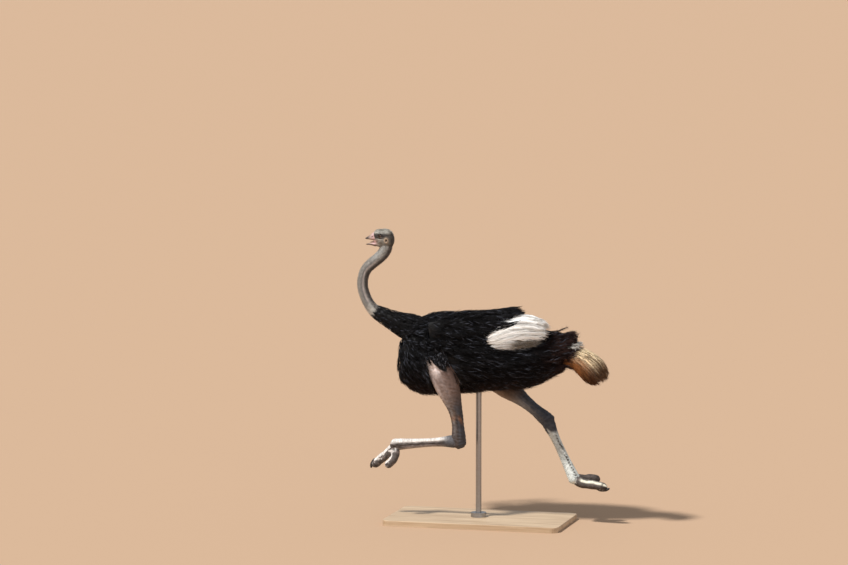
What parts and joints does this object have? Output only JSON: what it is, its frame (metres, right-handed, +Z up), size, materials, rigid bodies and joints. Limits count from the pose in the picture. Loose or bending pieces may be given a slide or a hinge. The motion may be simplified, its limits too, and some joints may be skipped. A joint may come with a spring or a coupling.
{
  "type": "ostrich figure",
  "caption": "Life-size running ostrich cock in full plumage, both feet off the ground and bill open, held over a flat oblong base by an upright rod.",
  "frame": {"origin": "centre of the base's underside, on the floor", "axes": "+Z up; the bird runs towards -X, with its left side towards -Y"},
  "size_m": [1.7169, 0.62, 1.944],
  "materials": {
    "plumage_black": "deep black loose plumage, matt",
    "plumage_white": "white loose wing plumes, matt",
    "plumage_buff": "buff and brown tail plumes, matt",
    "bare_skin": "grey bare skin with a thin pale down",
    "thigh_skin": "greyish pink bare skin",
    "leg_scutes": "pale grey scaled skin, slightly glossy",
    "bill_horn": "pinkish horn with dark edges",
    "claw_horn": "blackish horn",
    "eye_gloss": "dark brown, wet gloss",
    "stand_wood": "pale oak, satin",
    "stand_steel": "dark brushed steel"
  },
  "bodies": {
    "root": {"trunk": "plumage_black", "neck_base": "plumage_black", "wing_left": "plumage_black", "wing_right": "plumage_black", "tail_coverts": "plumage_black", "wing_plumes_left": "plumage_white", "wing_plumes_right": "plumage_white", "tail": "plumage_buff", "neck_lower": "bare_skin", "neck_middle": "bare_skin", "neck_upper": "bare_skin", "head": "bare_skin", "ear_left": "bare_skin", "ear_right": "bare_skin", "bill_upper": "bill_horn", "bill_lower": "bill_horn", "eye_left": "eye_gloss", "eye_right": "eye_gloss", "thigh_left": "thigh_skin", "shank_left": "thigh_skin", "tarsus_left": "leg_scutes", "toe_inner_left": "leg_scutes", "toe_outer_left": "leg_scutes", "claw_left": "claw_horn", "thigh_right": "thigh_skin", "shank_right": "thigh_skin", "tarsus_right": "leg_scutes", "toe_inner_right": "leg_scutes", "toe_outer_right": "leg_scutes", "claw_right": "claw_horn", "stand_base": "stand_wood", "stand_rod": "stand_steel", "stand_collar": "stand_steel"}
  },
  "joints": []
}
